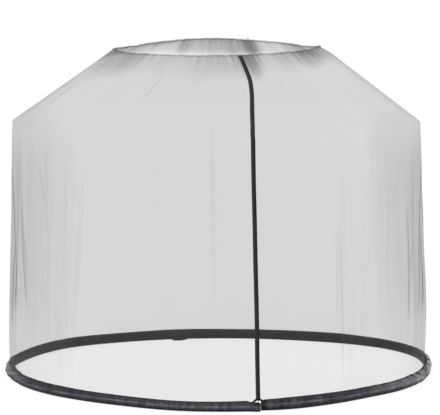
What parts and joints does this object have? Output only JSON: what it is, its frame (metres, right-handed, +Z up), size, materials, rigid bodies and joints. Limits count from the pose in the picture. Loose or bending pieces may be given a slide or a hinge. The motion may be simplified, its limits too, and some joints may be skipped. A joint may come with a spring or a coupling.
{
  "type": "parasol mosquito net",
  "caption": "Round netting canopy with a gathered top opening, sloping roof, straight wall, front zip and a filled weight sleeve round its foot; hangs over an open parasol.",
  "frame": {"origin": "middle of the gathered top opening, 2.3 m above the ground that the weight sleeve lies on", "axes": "+Z up, the zip on the -Y side, +X to the right of someone who faces the zip from outside"},
  "size_m": [3.0482, 3.0124, 2.3163],
  "materials": {
    "netting": "sheer dark grey polyester netting",
    "zip_tape": "woven polyester tape, matt",
    "zip_coil": "nylon coil, dull",
    "slider_metal": "grey plated zinc, worn",
    "sleeve_cloth": "coated polyester cloth with a soft sheen"
  },
  "bodies": {
    "root": {"net": "netting", "zip_tape_left": "zip_tape", "zip_tape_right": "zip_tape", "zip_coil": "zip_coil", "zip_slider": "slider_metal", "zip_pull": "slider_metal", "weight_sleeve": "sleeve_cloth"}
  },
  "joints": []
}
